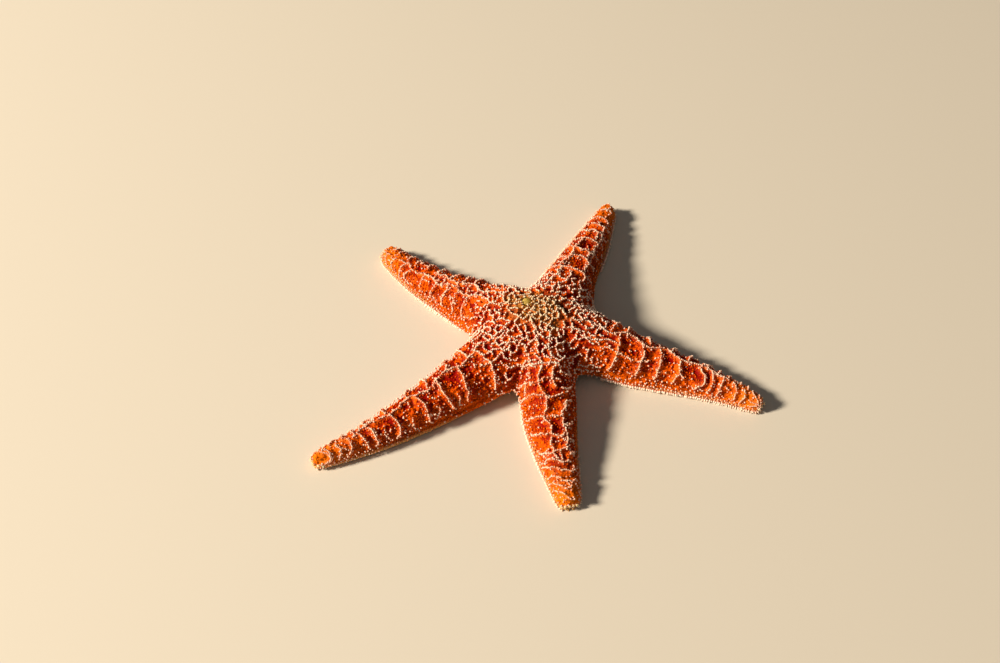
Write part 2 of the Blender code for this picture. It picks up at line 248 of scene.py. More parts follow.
def dampSkin():
    # living skin, wetted by a wave: thin, deep in colour and slightly glossy, with soft granules in
    # the hollows. The mesh says where the ridges, hollows, tips, underside and crown are
    material, tree, shader = newMaterial("dampLivingSkin", {
        "Roughness": skinLook["roughness"], "IOR": 1.36, "Specular IOR Level": 0.07,
        "Subsurface Weight": 0.04, "Subsurface Radius": (1.0, 0.3, 0.05), "Subsurface Scale": 0.0006})
    place = addNode(tree, "TexCoord", {}, {}, "Object")
    ridge, depth, tone, tip, oral, margin, crown = (
        addNode(tree, "Attribute", {"attribute_name": name}, {}, "Fac")
        for name in ("ridge", "depth", "tone", "tip", "oral", "margin", "crown"))
    mottle = addNode(tree, "TexNoise", {}, {
        "Vector": place, "Scale": 1000 / skinLook["mottleMm"], "Detail": 3.0, "Roughness": 0.6})
    speck = addNode(tree, "TexVoronoi", {}, {
        "Vector": place, "Scale": 1000 / skinLook["speckMm"], "Randomness": 1.0})
    # painted shade: the first and last of these mark the gaps between the granules and the deepest hollows,
    # which go near black; the middle one is the crown's khaki patches
    granuleGapShade, patches, deepHollowShade = (
        addNode(tree, "MapRange", {"interpolation_type": "SMOOTHSTEP"},
                {"Value": value, "From Min": low, "From Max": high})
        for value, low, high in ((speck, 0.2, 0.6), (mottle, 0.3, 0.62), (depth, 0.82, 1.15)))
    warmth = 0.0
    for value, weight in ((tone, 0.55), (mottle, 0.6), (depth, -0.3), (granuleGapShade, -0.34)):
        # the warmth of the red: each cell has its own, and painted shade makes it a deeper red down the
        # hollows and between the granules
        warmth = addNode(tree, "Math", {"operation": "MULTIPLY_ADD"}, {0: value, 1: weight, 2: warmth})
    warmth = addNode(tree, "MapRange", {"interpolation_type": "SMOOTHSTEP"},
                     {"Value": warmth, "From Min": 0.0, "From Max": 0.62})
    khaki = addNode(tree, "Math", {"operation": "MULTIPLY"}, {0: crown, 1: patches})
    # painted shade: the crown darkens down its hollows
    crownHollowShade = addNode(tree, "Math", {"operation": "MULTIPLY"}, {0: crown, 1: depth})
    ridges, margins, crownHollowShade, deepHollowShade = (
        addNode(tree, "Math", {"operation": "MULTIPLY"}, {0: value, 1: share})
        for value, share in ((ridge, 0.4), (margin, 0.8), (crownHollowShade, 0.5), (deepHollowShade, 0.85)))
    paintedShade = addNode(tree, "Math", {"operation": "MAXIMUM", "use_clamp": True}, {0: crownHollowShade, 1: deepHollowShade})
    flesh = srgb(skinLook["hollow"])
    for amount, name in ((warmth, "lit"), (tip, "tip"), (khaki, "crown"), (paintedShade, "pit"), (ridges, "crest"),
                         (margins, "margin"), (oral, "oral")):
        flesh = addNode(tree, "Mix", {"data_type": "RGBA"},
                        {0: amount, 6: flesh, 7: srgb(skinLook[name])}, 2)
    tree.links.new(flesh, shader.inputs["Base Color"])
    sheen = addNode(tree, "Math", {"operation": "MULTIPLY_ADD"},
                    {0: mottle, 1: 0.2, 2: skinLook["roughness"] - 0.1})
    tree.links.new(sheen, shader.inputs["Roughness"])
    grain = addNode(tree, "TexNoise", {}, {
        "Vector": place, "Scale": 1000 / skinLook["grainMm"], "Detail": 2.0})
    raised = addNode(tree, "Math", {"operation": "SUBTRACT"}, {0: 1.0, 1: speck})
    height = addNode(tree, "Math", {"operation": "MULTIPLY_ADD"}, {0: grain, 1: 0.35, 2: raised})
    bump = addNode(tree, "Bump", {}, {
        "Strength": 0.7, "Distance": skinLook["speckHeightMm"] * mm, "Height": height})
    tree.links.new(bump, shader.inputs["Normal"])
    return material


spineLook = {
    "chalk": "#fbe6d2",         # worn calcite
    "flushed": "#ee8f58",       # a bead that skin still covers
    "khaki": "#ecd9b0",         # the crown's beads
    "stem": "#dc5528",          # where the bead rises out of the skin: the skin's own colour, and painted shade at its foot
    "roughness": 0.58,
    "grainMm": 0.25,
    "grainHeightMm": 0.05,
}


def chalkySpines():
    # calcite worn smooth by sand: matt, faintly see-through, and stained by the skin at its foot, where
    # painted shade also darkens it
    material, tree, shader = newMaterial("wornCalciteSpines", {
        "Roughness": spineLook["roughness"], "IOR": 1.5, "Subsurface Weight": 0.1,
        "Subsurface Radius": (0.6, 0.4, 0.3), "Subsurface Scale": 0.0006})
    place = addNode(tree, "TexCoord", {}, {}, "Object")
    flush, crown, rise = (addNode(tree, "Attribute", {"attribute_name": name}, {}, "Fac")
                          for name in ("flush", "crown", "rise"))
    khaki = addNode(tree, "Math", {"operation": "MULTIPLY"}, {0: crown, 1: 0.8})
    # painted shade as well as the skin's stain: the foot of each spine is darker and redder
    foot = addNode(tree, "MapRange", {"interpolation_type": "SMOOTHSTEP"}, {
        "Value": rise, "From Min": 0.18, "From Max": 0.6, "To Min": 0.8, "To Max": 0.0})
    colour = srgb(spineLook["chalk"])
    for amount, name in ((flush, "flushed"), (khaki, "khaki"), (foot, "stem")):
        colour = addNode(tree, "Mix", {"data_type": "RGBA"},
                         {0: amount, 6: colour, 7: srgb(spineLook[name])}, 2)
    tree.links.new(colour, shader.inputs["Base Color"])
    grain = addNode(tree, "TexNoise", {}, {
        "Vector": place, "Scale": 1000 / spineLook["grainMm"], "Detail": 2.0})
    bump = addNode(tree, "Bump", {}, {"Strength": 0.35, "Distance": spineLook["grainHeightMm"] * mm,
                                      "Height": grain})
    tree.links.new(bump, shader.inputs["Normal"])
    return material


softLook = {"pale": "#f1dfb9", "warm": "#e0a665", "roughness": 0.34, "mottleMm": 1.6, "creaseMm": 0.08}


def softFlesh():
    # tube feet and the membrane round the mouth: moist, translucent, and without the skin's red
    material, tree, shader = newMaterial("moistSoftFlesh", {
        "Roughness": softLook["roughness"], "IOR": 1.38, "Subsurface Weight": 0.3,
        "Subsurface Radius": (1.0, 0.6, 0.3), "Subsurface Scale": 0.0015, "Coat Weight": 0.3,
        "Coat Roughness": 0.2})
    place = addNode(tree, "TexCoord", {}, {}, "Object")
    mottle = addNode(tree, "TexNoise", {}, {
        "Vector": place, "Scale": 1000 / softLook["mottleMm"], "Detail": 3.0})
    warmth = addNode(tree, "MapRange", {"interpolation_type": "SMOOTHSTEP"},
                     {"Value": mottle, "From Min": 0.35, "From Max": 0.7})
    colour = addNode(tree, "Mix", {"data_type": "RGBA"},
                     {0: warmth, 6: srgb(softLook["pale"]), 7: srgb(softLook["warm"])}, 2)
    tree.links.new(colour, shader.inputs["Base Color"])
    bump = addNode(tree, "Bump", {}, {"Strength": 0.4, "Distance": softLook["creaseMm"] * mm,
                                      "Height": mottle})
    tree.links.new(bump, shader.inputs["Normal"])
    return material


plateLook = {
    # the groove colour is painted shade down the grooves
    "plate": "#d2b24a", "groove": "#86662a",
    "roughness": 0.6, "grainMm": 0.2, "grainHeightMm": 0.05,
}


def sievePlateCalcite():
    # bare calcite pierced by hundreds of pores: dull yellow, with painted shade darker down its winding
    # grooves
    material, tree, shader = newMaterial("porousCalcite", {"Roughness": plateLook["roughness"], "IOR": 1.5})
    depth = addNode(tree, "Attribute", {"attribute_name": "depth"}, {}, "Fac")
    colour = addNode(tree, "Mix", {"data_type": "RGBA"},
                     {0: depth, 6: srgb(plateLook["plate"]), 7: srgb(plateLook["groove"])}, 2)
    tree.links.new(colour, shader.inputs["Base Color"])
    place = addNode(tree, "TexCoord", {}, {}, "Object")
    grain = addNode(tree, "TexNoise", {}, {
        "Vector": place, "Scale": 1000 / plateLook["grainMm"], "Detail": 2.0})
    bump = addNode(tree, "Bump", {}, {"Strength": 0.4, "Distance": plateLook["grainHeightMm"] * mm,
                                      "Height": grain})
    tree.links.new(bump, shader.inputs["Normal"])
    return material


# the skin's plain shape, taken off the solids
skinShape = {
    "closing": 0.22,      # how far each solid is swelled, which closes the thin cuts between them
    "voxel": 0.45,
    "smoothing": 6,
    "coatDepth": 0.5,     # the spines stand this far out of the skin
    "clear": 0.12,        # the treads' height over the floor
    "triangles": 190000,  # the finished skin is thinned to this many, mostly where it is flat
}


def joinFlesh():
    deselectAll()
    copies = []
    for name in fleshNodes:
        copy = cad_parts[name].copy()
        copy.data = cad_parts[name].data.copy()
        for key in list(copy.keys()):
            del copy[key]
        copy.parent = None
        bpy.context.scene.collection.objects.link(copy)
        loose = bmesh.new()
        loose.from_mesh(copy.data)
        bmesh.ops.remove_doubles(loose, verts=loose.verts, dist=1e-6)
        loose.to_mesh(copy.data)
        loose.free()
        places, normals = meshArrays(copy.data)
        setPlaces(copy.data, places + normals * skinShape["closing"] * mm)
        copies.append(copy)
    for copy in copies:
        copy.select_set(True)
    bpy.context.view_layer.objects.active = copies[0]
    bpy.ops.object.join()
    body = bpy.context.object
    body.name = "skin"
    body.data.materials.clear()
    return body


def remeshSkin(body):
    remesh = body.modifiers.new("oneSkin", "REMESH")
    remesh.mode = "VOXEL"
    remesh.voxel_size = skinShape["voxel"] * mm
    remesh.use_smooth_shade = True
    settle = body.modifiers.new("settle", "SMOOTH")
    settle.factor = 0.5
    settle.iterations = skinShape["smoothing"]
    applyModifiers(body)
    places, normals = meshArrays(body.data)
    setPlaces(body.data, places - normals * (skinShape["closing"] + skinShape["coatDepth"]) * mm)
    return body


def treeOf(mesh):
    probe = bmesh.new()
    probe.from_mesh(mesh)
    found = BVHTree.FromBMesh(probe)
    probe.free()
    return found


rayStart = 0.1        # metres above the floor, clear of the whole star
lastShare = 0.985     # no ray is cast closer to an arm's end
core = {
    "height": 0.36,           # the core's share of the way up the arm
    "lift": 3.0,              # the underside is this far off the floor near the disc
    "lifted": (0.15, 0.42),   # and comes down to it over these shares
    "longest": 0.03,          # a ray in metres that goes farther than this has missed
}


class Hull:
    # finds places on the plain skin by casting out from an arm's core
    def __init__(self, mesh):
        self.tree = treeOf(mesh)
        self.crests = {}

    def crest(self, name, share):
        key = (name, round(share, 3))
        if key not in self.crests:
            x, y = axisPlace(arms[name], min(share, lastShare))
            hit = self.tree.ray_cast(Vector((x * mm, y * mm, rayStart)), -up)[0]
            self.crests[key] = hit.z / mm if hit else 5.0
        return self.crests[key]

    def coreHeight(self, name, share):
        lift = core["lift"] * (1 - smooth01(*core["lifted"], share))
        return float(between(lift, self.crest(name, share), core["height"]))

    def around(self, name, share, turn):
        # turn is in degrees: 90 is the crest, 0 the left side, 180 the right side
        arm = arms[name]
        _, left = axesOf(arm)
        x, y = axisPlace(arm, share)
        start = Vector((x, y, self.coreHeight(name, share))) * mm
        c, s = math.cos(math.radians(turn)), math.sin(math.radians(turn))
        heading = Vector((left[0] * c, left[1] * c, s))
        place, normal, _, distance = self.tree.ray_cast(start, heading)
        if place is None or distance > core["longest"]:
            return None
        return place, normal


# the raised plates: rails and spans on the arms, and a fine irregular net over the disc and between them
relief = {
    "depth": (1.45, 1.7), "tipDepth": 0.9,      # how far the cells lie below the ridges: disc and arms
    "plateSpread": 3.0,       # how far the foot of a main plate reaches
    "crestSpread": 1.4,       # and how far its steep crest does
    "crestPart": 0.4,         # the crest's share of its height
    "steepness": 1.5,         # above one, a ridge's flanks are hollow
    "overlap": 0.35,          # how much of the lower ridge adds to the higher one where they cross
    "crownWalls": 0.66,       # the least strength of the fine net's walls in the crown
    "slopes": (-0.45, 0.3),   # the upward parts of a normal over which the relief fades in from below
    "discEnds": (18, 28),     # and the distances from the centre over which the arms' relief does
    "sieveMm": (1.9, 2.8),    # the flat ground round the sieve plate
    "spurChance": 0.6,        # how many of the spans send out a short spur
    "fineSpread": 1.15,
    "fineHeight": (1.4, 0.5),     # heights of the fine net's walls on the disc and the arms
    "fineGap": (2.75, 3.1),       # and about how wide its cells are
    "armsBegin": (0.22, 0.36),   # shares over which the main plates take over from the fine net
    "sway": 0.95, "swayMm": 2.6,                # how far the chains wander, and how quickly
    "warp": 0.8, "warpMm": 2.4,                 # the same for the fine net
    "walls": 4001,            # strengths to choose from for the fine net's walls
    "weakWalls": 0.3,         # share of them that hardly rise
    "chainLine": 0.5, "fineLine": 0.36,         # widths of the pale lines of skin along the ridges
    "seedCellMm": 3.4,        # size of the boxes that the fine net's seeds are looked up in
    "stepMm": 0.3,            # between two points of a rail
    "stepTurn": 1.6,          # and of a span
}


def plateChains(hull):
    # sampled points of every rail and span: place, normal, arm share and how tall it stands there
    chains = []
    for number, (name, arm) in enumerate(arms.items()):
        draw = random.Random(40 + number)

        def trace(places, tall):
            chain = []
            for share, turn in places:
                found = hull.around(name, min(share, lastShare), turn)
                if found:
                    place, normal = found
                    sway = noise.noise_vector(place / (relief["swayMm"] * mm)) * relief["sway"] * mm
                    chain.append((place + sway - normal * sway.dot(normal), normal, share, tall))
            if len(chain) > 3:
                chains.append(chain)

        for turn, first, last, sway in arm["rails"]:
            steps = int((last - first) * arm["length"] / relief["stepMm"])
            phase = draw.uniform(0, 6)
            shares = [first + (last - first) * i / steps for i in range(steps + 1)]
            trace([(s, turn + sway * math.sin(phase + s * 38) + draw.gauss(0, 0.4)) for s in shares],
                  0.8 if turn != arm["rails"][0][0] else 0.95)
        for start, end, tall, shares, lean, bulge in arm["spans"]:
            for first in shares:
                leaning = lean + draw.gauss(0, 0.009)
                bulging = bulge + draw.gauss(0, 0.009)
                steps = int(abs(end - start) / relief["stepTurn"])
                places = []
                for i in range(steps + 1):
                    x = i / steps
                    share = first + leaning * x + bulging * 4 * x * (1 - x)
                    places.append((share, start + (end - start) * x))
                trace(places, tall)
                if draw.random() < relief["spurChance"]:
                    share, turn = places[int(steps * draw.uniform(0.25, 0.9))]
                    out = draw.choice((-1, 1)) * draw.uniform(1.6, 3.4) / arm["length"]
                    around = draw.uniform(-16, 16)
                    trace([(share + out * i / 9, turn + around * i / 9) for i in range(10)], tall * 0.75)
    return chains


def finePlateSeeds(places, normals, share, reach):
    draw = np.random.default_rng(5)
    onTop = np.flatnonzero(normals[:, 2] > -0.35)
    order = draw.permutation(onTop)
    outward = smooth01(20, 40, reach)
    gap = between(*relief["fineGap"], outward)
    gap = gap * (1 - 0.2 * nearTip(share, 0.75)) * draw.uniform(0.72, 1.3, len(places))
    gap = gap * (1 - 0.12 * crownShare(places))
    return thinned(places, order, gap * mm, relief["seedCellMm"])


def treeOfPlaces(places):
    tree = KDTree(len(places))
    for i, place in enumerate(places):
        tree.insert(place, i)
    tree.balance()
    return tree


def fineDistances(places, seedTree):
    # how far each place is from the wall between its two nearest seeds, its cell, and that wall's number
    distance = np.zeros(len(places))
    cell = np.zeros(len(places), int)
    wall = np.zeros(len(places), int)
    scale = 1 / (relief["warpMm"] * mm)
    for i, place in enumerate(places):
        point = Vector(place)
        point = point + noise.noise_vector(point * scale) * relief["warp"] * mm
        (first, a, _), (second, b, _) = seedTree.find_n(point, 2)
        gap = second - first
        distance[i] = gap.normalized().dot((first + second) / 2 - point)
        cell[i] = a
        wall[i] = (min(a, b) * 7919 + max(a, b)) % relief["walls"]
    return distance / mm, cell, wall


def plateDistances(places, chainTree, tall):
    distance = np.zeros(len(places))
    height = np.zeros(len(places))
    for i, place in enumerate(places):
        _, nearest, gap = chainTree.find(place)
        distance[i] = gap
        height[i] = tall[nearest]
    return distance / mm, height


def sieveDistance(places):
    low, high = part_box("madreporite")
    middle = (np.array(low) + np.array(high)) / 2
    return np.hypot(places[:, 0] - middle[0], places[:, 1] - middle[1]) / mm


def onOval(places, oval):
    # places as shares of an oval's two half widths, along and across it
    offset = places[:, :2] / mm - discCentre - np.array(oval["at"])
    forward, left = axesOf(oval)
    return offset @ forward / oval["along"], offset @ left / oval["across"]


crownOval = {
    "at": (-1.2, 1.8), "heading": -22.0, "along": 17.8, "across": 11.5,
    "edge": (0.36, 1.05),               # where it starts to fade and where it ends
    "ragged": 0.22, "raggedMm": 3.5,    # how far its edge wanders, and how quickly
}


def crownShare(places):
    # the khaki middle of the disc: an oval that lies askew, with a ragged edge
    along, across = onOval(places, crownOval)
    ragged = np.array([noise.noise(Vector(p) / (crownOval["raggedMm"] * mm)) for p in places])
    return 1 - smooth01(*crownOval["edge"], np.hypot(along, across) + ragged * crownOval["ragged"])


mouthHollow = {"reach": 9.5, "top": 12.0}


def inMouth(places):
    # the walls of the hollow that the mouth lies in
    flat = places[:, :2] / mm - discCentre
    near = np.hypot(flat[:, 0], flat[:, 1]) < mouthHollow["reach"]
    return near & (places[:, 2] < mouthHollow["top"] * mm)


dents = (
    # where the disc sinks: its place from the middle, its two half widths, its heading and its depth
    dict(at=(9.3, 3.0), along=4.6, across=1.5, heading=-48, depth=2.4),
    dict(at=(9.6, -10.8), along=2.6, across=1.5, heading=-60, depth=1.3),
    dict(at=(-6.6, 0.4), along=1.9, across=1.2, heading=80, depth=1.3),
)


def dentDepth(places):
    depth = np.zeros(len(places))
    for dent in dents:
        along, across = onOval(places, dent)
        depth = np.maximum(depth, dent["depth"] * np.exp(-(along**2 + across**2) * 1.4))
    return depth


def ridgeHeight(gap, spread):
    # a ridge's height beside its line, as a share: nothing from where its foot ends
    return (1 - np.clip(gap / spread, 0, 1)) ** relief["steepness"]


class Plates:
    # the relief as fields over any places on the plain skin
    def __init__(self, hull, places, normals):
        _, share, _, reach = onArms(places)
        self.chains = plateChains(hull)
        points = [p for chain in self.chains for p in chain]
        self.chainTree = treeOfPlaces([p[0] for p in points])
        self.tall = [p[3] for p in points]
        self.seeds = places[finePlateSeeds(places, normals, share, reach)]
        self.seedTree = treeOfPlaces(self.seeds)
        draw = np.random.default_rng(17)
        weak = draw.random(relief["walls"]) < relief["weakWalls"]
        self.strengths = np.where(weak, 0.15, draw.uniform(0.62, 1.0, relief["walls"]))

    def measure(self, places, normals):
        nearest, share, aside, reach = onArms(places)
        coarse, tall = plateDistances(places, self.chainTree, self.tall)
        fine, cell, wall = fineDistances(places, self.seedTree)
        crown = crownShare(places)
        strength = np.maximum(self.strengths[wall], relief["crownWalls"] * crown)
        onArm = smooth01(*relief["armsBegin"], share) * smooth01(*relief["discEnds"], reach)
        tip = nearTip(share)
        upper = smooth01(*relief["slopes"], normals[:, 2]) * ~inMouth(places)
        depth = between(between(*relief["depth"], onArm), relief["tipDepth"], tip)
        gap = np.sqrt(coarse**2 + 0.04) - 0.2
        crest = ridgeHeight(gap, relief["crestSpread"] * (1 - 0.3 * tip))
        foot = ridgeHeight(gap, relief["plateSpread"] * (1 - 0.4 * tip))
        main = tall * (crest * relief["crestPart"] + foot * (1 - relief["crestPart"]))
        main = main * (1 - 0.3 * (1 - onArm))
        slim = ridgeHeight(np.sqrt(fine**2 + 0.02) - 0.14, relief["fineSpread"])
        small = slim * strength * between(*relief["fineHeight"], onArm) / depth
        rise = np.maximum(main, small) + relief["overlap"] * np.minimum(main, small)
        rise = np.clip(rise, 0, 1)
        sieve = 1 - smooth01(*relief["sieveMm"], sieveDistance(places))
        lower = depth * (1 - rise) * upper * (1 - sieve) + dentDepth(places) * upper
        return dict(nearest=nearest, share=share, aside=aside, reach=reach, coarse=coarse, fine=fine,
                    cell=cell, onArm=onArm, crown=crown, strength=strength, upper=upper, rise=rise,
                    lower=lower, sieve=sieve)


gold = {"tip": 0.75, "tipFrom": 0.76, "flank": 0.42, "slopes": (-0.35, 0.8), "most": 0.9}
footBand = (1.0, 2.9)     # the heights in millimetres over which the pale band fades out


def goldShare(share, slopes):
    # how golden the skin is: most at an arm's end, and less down its flanks
    flanks = 1 - smooth01(*gold["slopes"], slopes)
    return np.clip(gold["tip"] * nearTip(share, gold["tipFrom"]) + gold["flank"] * flanks, 0, gold["most"])


def footShare(places):
    # the pale band along the foot of each flank
    return 1 - smooth01(*footBand, places[:, 2] / mm)


def raiseNet(body, plates):
    mesh = body.data
    places, normals = meshArrays(mesh)
    field = plates.measure(places, normals)
    lowered = places - normals * field["lower"][:, None] * mm
    lowered[:, 2] = np.maximum(lowered[:, 2], skinShape["clear"] * mm)
    setPlaces(mesh, lowered)
    onChain = np.exp(-(field["coarse"] / relief["chainLine"]) ** 2)
    onFine = np.exp(-(field["fine"] / relief["fineLine"]) ** 2) * field["strength"]
    onFine = onFine * (1 - 0.85 * field["onArm"])
    tones = np.random.default_rng(3).random(len(plates.seeds))[field["cell"]]
    setAttribute(mesh, "ridge", np.maximum(onChain, onFine) * field["upper"] * (1 - field["sieve"]))
    # depth: how far the skin lies below its ridges, from which the skin's colour takes its painted shade
    setAttribute(mesh, "depth", np.clip(field["lower"] / 2.0, 0, 1.3))
    setAttribute(mesh, "tone", tones)
    setAttribute(mesh, "tip", goldShare(field["share"], normals[:, 2]))
    setAttribute(mesh, "oral", np.maximum(smooth01(-0.3, -0.7, normals[:, 2]), inMouth(places)))
    setAttribute(mesh, "margin", footShare(places))
    setAttribute(mesh, "crown", field["crown"])
    say("%d chains of plates and %d fine cells" % (len(plates.chains), len(plates.seeds)))
    thin = body.modifiers.new("thin", "DECIMATE")
    thin.ratio = min(1.0, skinShape["triangles"] / (2 * len(mesh.polygons)))
    applyModifiers(body)


def newSphere(segments, rings):
    deselectAll()
    bpy.ops.mesh.primitive_uv_sphere_add(segments=segments, ring_count=rings, radius=1)
    return bpy.context.object


def takeShape(obj):
    # an object's vertices and faces, after which the object goes
    places, _ = meshArrays(obj.data)
    faces = [tuple(p.vertices) for p in obj.data.polygons]
    bpy.data.objects.remove(obj, do_unlink=True)
    return places, faces


# spines: each kind is modelled once, then copied to all its places
spineShapes = {
    # a kind's facets, the width of its foot against its head, and where the foot begins
    "knob": dict(segments=8, rings=6, foot=0.72, below=-0.25),
    "grain": dict(segments=6, rings=5, foot=0.9, below=-0.4),
    "peg": dict(segments=7, rings=6, foot=0.8, below=-0.25),
    "bud": dict(segments=5, rings=4, foot=1.0, below=-0.4),
}


def masterSpine(kind):
    shape = spineShapes[kind]
    spine = newSphere(shape["segments"], shape["rings"])
    bpy.ops.object.mode_set(mode="EDIT")
    bpy.ops.mesh.select_all(action="DESELECT")
    bpy.ops.object.mode_set(mode="OBJECT")
    for vertex in spine.data.vertices:
        vertex.select = vertex.co.z < shape["below"]
    bpy.ops.object.mode_set(mode="EDIT")
    bpy.ops.transform.resize(value=(shape["foot"], shape["foot"], 1))
    bpy.ops.object.mode_set(mode="OBJECT")
    return takeShape(spine)


unwrap = {
    "start": 0.03, "size": 0.94,   # the part of the map that an arm's strip fills
    "discMm": 30.0,                # half the width of the round patch of the disc
    "coreMm": 5.0,                 # the height that the strips are unrolled about
    "patch": 0.003,                # a spine's own width on the map
    "floorMm": 0.02,               # and no spine reaches lower than this
}
discEdge = 27.0       # millimetres from the centre within which a spine belongs to the disc


def stripPlace(share, turn):
    # a place on an arm unrolled: along it, and around it from below
    along = unwrap["start"] + unwrap["size"] * np.clip(share, 0, 1)
    return along, unwrap["start"] + unwrap["size"] * ((turn + 90) % 360) / 360


def copyToPlaces(name, master, spines, material):
    # spines holds a value for each copy: its root, heading, radius, height, place on the map, and its looks
    places0, faces = master
    roots = np.array(spines["root"], float)
    headings = np.array(spines["heading"], float)
    radii = np.array(spines["radius"], float)[:, None]
    heights = np.array(spines["height"], float)[:, None]
    count, size = len(roots), len(places0)
    headings = headings / np.linalg.norm(headings, axis=1)[:, None]
    helper = np.where(np.abs(headings[:, 2:3]) < 0.9, [[0.0, 0.0, 1.0]], [[1.0, 0.0, 0.0]])
    first = np.cross(helper, headings)
    first = first / np.linalg.norm(first, axis=1)[:, None]
    second = np.cross(headings, first)
    spin = np.random.default_rng(count).random((count, 1)) * 2 * math.pi
    one = first * np.cos(spin) + second * np.sin(spin)
    two = np.cross(headings, one)
    lift = (places0[:, 2] - places0[:, 2].min()) / np.ptp(places0[:, 2])
    places = (roots[:, None, :]
              + one[:, None, :] * (places0[None, :, 0] * radii)[:, :, None] * mm
              + two[:, None, :] * (places0[None, :, 1] * radii)[:, :, None] * mm
              + headings[:, None, :] * (lift[None, :] * heights)[:, :, None] * mm)
    places[:, :, 2] = np.maximum(places[:, :, 2], unwrap["floorMm"] * mm)
    sizes = np.array([len(face) for face in faces])
    corners = np.concatenate([np.array(face) for face in faces])
    loops = (corners[None, :] + (np.arange(count) * size)[:, None]).ravel()
    starts = np.concatenate([[0], np.cumsum(np.tile(sizes, count))[:-1]])
    mesh = bpy.data.meshes.new(name)
    mesh.vertices.add(count * size)
    mesh.vertices.foreach_set("co", places.astype(np.float32).ravel())
    mesh.loops.add(len(loops))
    mesh.loops.foreach_set("vertex_index", loops.astype(np.int32))
    mesh.polygons.add(count * len(faces))
    mesh.polygons.foreach_set("loop_start", starts.astype(np.int32))
    mesh.update(calc_edges=True)
    mesh.validate()
    mesh.shade_smooth()
    setAttribute(mesh, "rise", np.tile(lift, count))
    # depth is painted shade, darkest at each copy's foot, which the skin's colour on the papulae darkens by
    setAttribute(mesh, "depth", np.tile(0.8 * (1 - lift), count))
    for key in sorted(spines.keys() - {"root", "heading", "radius", "height", "map"}):
        setAttribute(mesh, key, np.repeat(np.asarray(spines[key], float), size))
    angle = np.arctan2(places0[:, 1], places0[:, 0]) / (2 * math.pi)
    patch = np.stack([angle, lift - 0.5], 1) * unwrap["patch"]
    maps = np.array(spines["map"], float)
    layer = mesh.uv_layers.new(name="OFBake")
    layer.data.foreach_set("uv", (maps[:, None, :] + patch[None, corners, :]).astype(np.float32).ravel())
    mesh.materials.append(material)
    piece = bpy.data.objects.new(name, mesh)
    bpy.context.scene.collection.objects.link(piece)
    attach(piece, "root")
    say("%s: %d copies, %d faces" % (name, count, len(mesh.polygons)))
    return piece


def thinned(places, order, spacing, cellMm):
    # walks through the places in the given order and keeps each that is clear of those already kept
    kept = []
    grid = {}
    keys = np.floor(places / (cellMm * mm)).astype(int)
    for i in order:
        p = places[i]
        gap = spacing[i]
        a, b, c = keys[i]
        near = (q for x in (-1, 0, 1) for y in (-1, 0, 1) for z in (-1, 0, 1)
                for q in grid.get((a + x, b + y, c + z), ()))
        if all((p[0] - q[0]) ** 2 + (p[1] - q[1]) ** 2 + (p[2] - q[2]) ** 2 > gap * gap for q in near):
            kept.append(i)
            grid.setdefault((a, b, c), []).append(p)
    return np.array(kept)


def byRegion(roots):
    # for each arm and the disc: its name, which roots are on it, and their places on its own map
    nearest, share, aside, reach = onArms(roots)
    turn = np.degrees(np.arctan2(roots[:, 2] / mm - unwrap["coreMm"], aside)) % 360
    strip = np.stack(stripPlace(share, turn), 1)
    patch = 0.5 + unwrap["size"] / 2 * np.clip((roots[:, :2] / mm - discCentre) / unwrap["discMm"], -1, 1)
    for k, name in enumerate(arms):
        mine = np.flatnonzero((nearest == k) & (reach >= discEdge))
        yield name, mine, strip[mine]
    mine = np.flatnonzero(reach < discEdge)
    yield "disc", mine, patch[mine]


coat = {
    "chainGap": 0.52, "chainRadius": (0.22, 0.41), "chainHeight": (0.6, 1.0), "chainMiss": 0.07,
    "besideChance": 0.38, "besideMm": 0.5,    # a second spine beside one on a chain
    "fineGap": 0.55, "fineReach": 0.22, "fineRadius": (0.27, 0.43), "fineHeight": (0.65, 1.05),
    "discGap": 1.9, "looseRadius": (0.18, 0.31), "looseHeight": (0.45, 0.85),
    "patchMm": 4.5,           # loose spines gather in patches about this far apart
    "patchShare": 0.54, "patchSwing": 1.1,    # how many are kept, and how much that varies
    "bareSlope": 0.5, "bareFrom": 0.15,       # a bare flank is steeper than this, and lies this far out
    "flush": (0.0, 0.36), "flushFrom": (0.22, 0.4),   # how much skin covers them: disc and arms
    "tipFrom": (0.72, 0.93),                  # shares over which the tip's own spacing takes over
    "wallCellMm": 1.3, "looseCellMm": 3.0,    # sizes of the boxes that they are looked up in
}


def denserPlaces(mesh):
    # the skin's vertices with the middles of its edges and faces, to choose roots from
    places, normals = meshArrays(mesh)
    ends = np.empty(len(mesh.edges) * 2, np.int32)
    mesh.edges.foreach_get("vertices", ends)
    ends = ends.reshape(-1, 2)
    middles = places[ends].mean(1)
    slopes = normals[ends].mean(1)
    slopes = slopes / np.linalg.norm(slopes, axis=1)[:, None]
    return np.concatenate([places, middles]), np.concatenate([normals, slopes])


def bareFlank(field, normals):
    # the steep low flanks that carry no spines
    side = (field["aside"] < 0).astype(int)
    reached = np.array([arm["bare"] for arm in arms.values()])[field["nearest"], side]
    alongside = (field["share"] < reached) & (field["share"] > coat["bareFrom"])
    return alongside & (normals[:, 2] < coat["bareSlope"])


